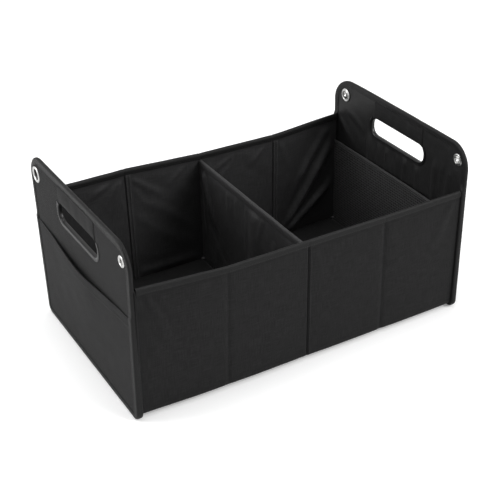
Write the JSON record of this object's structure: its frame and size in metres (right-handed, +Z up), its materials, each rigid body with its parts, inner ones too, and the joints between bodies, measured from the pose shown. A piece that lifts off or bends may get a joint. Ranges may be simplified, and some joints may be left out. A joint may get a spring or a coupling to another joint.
{
  "type": "car organizer",
  "caption": "Folding fabric car boot organizer with tall end panels, handle slots, a cross divider, a mesh pocket and an outer slip pocket.",
  "frame": {"origin": "middle of the footprint, on the ground", "axes": "+X from the pocket end to the mesh pocket end, +Y from the front wall to the back wall, +Z up"},
  "size_m": [0.5256, 0.313, 0.262],
  "materials": {
    "outer_fabric": "matte woven polyester",
    "lining_fabric": "satin woven nylon",
    "binding_tape": "ribbed woven tape",
    "mesh_fabric": "knitted net",
    "stiffener_board": "plain board",
    "eyelet_metal": "nickel plated"
  },
  "bodies": {
    "root": {"left_end_fabric": "outer_fabric", "left_end_board": "stiffener_board", "left_end_lining": "lining_fabric", "left_end_binding": "binding_tape", "left_slot_edging": "binding_tape", "left_grip_wrap": "outer_fabric", "left_front_eyelet": "eyelet_metal", "left_front_washer": "eyelet_metal", "left_back_eyelet": "eyelet_metal", "left_back_washer": "eyelet_metal", "right_end_fabric": "outer_fabric", "right_end_board": "stiffener_board", "right_end_lining": "lining_fabric", "right_end_binding": "binding_tape", "right_slot_edging": "binding_tape", "right_grip_wrap": "outer_fabric", "right_front_eyelet": "eyelet_metal", "right_front_washer": "eyelet_metal", "right_back_eyelet": "eyelet_metal", "right_back_washer": "eyelet_metal", "front_wall_fabric": "outer_fabric", "front_wall_lining": "lining_fabric", "front_rim_binding": "binding_tape", "front_wall_board_1": "stiffener_board", "front_wall_board_2": "stiffener_board", "front_wall_board_3": "stiffener_board", "front_wall_board_4": "stiffener_board", "back_wall_fabric": "outer_fabric", "back_wall_lining": "lining_fabric", "back_rim_binding": "binding_tape", "back_wall_board_1": "stiffener_board", "back_wall_board_2": "stiffener_board", "back_wall_board_3": "stiffener_board", "back_wall_board_4": "stiffener_board", "floor_fabric": "outer_fabric", "floor_lining": "lining_fabric", "left_floor_board": "stiffener_board", "right_floor_board": "stiffener_board", "divider_cover": "lining_fabric", "divider_board": "stiffener_board", "left_outer_pocket": "outer_fabric", "mesh_pocket": "mesh_fabric", "mesh_pocket_binding": "binding_tape"}
  },
  "joints": []
}
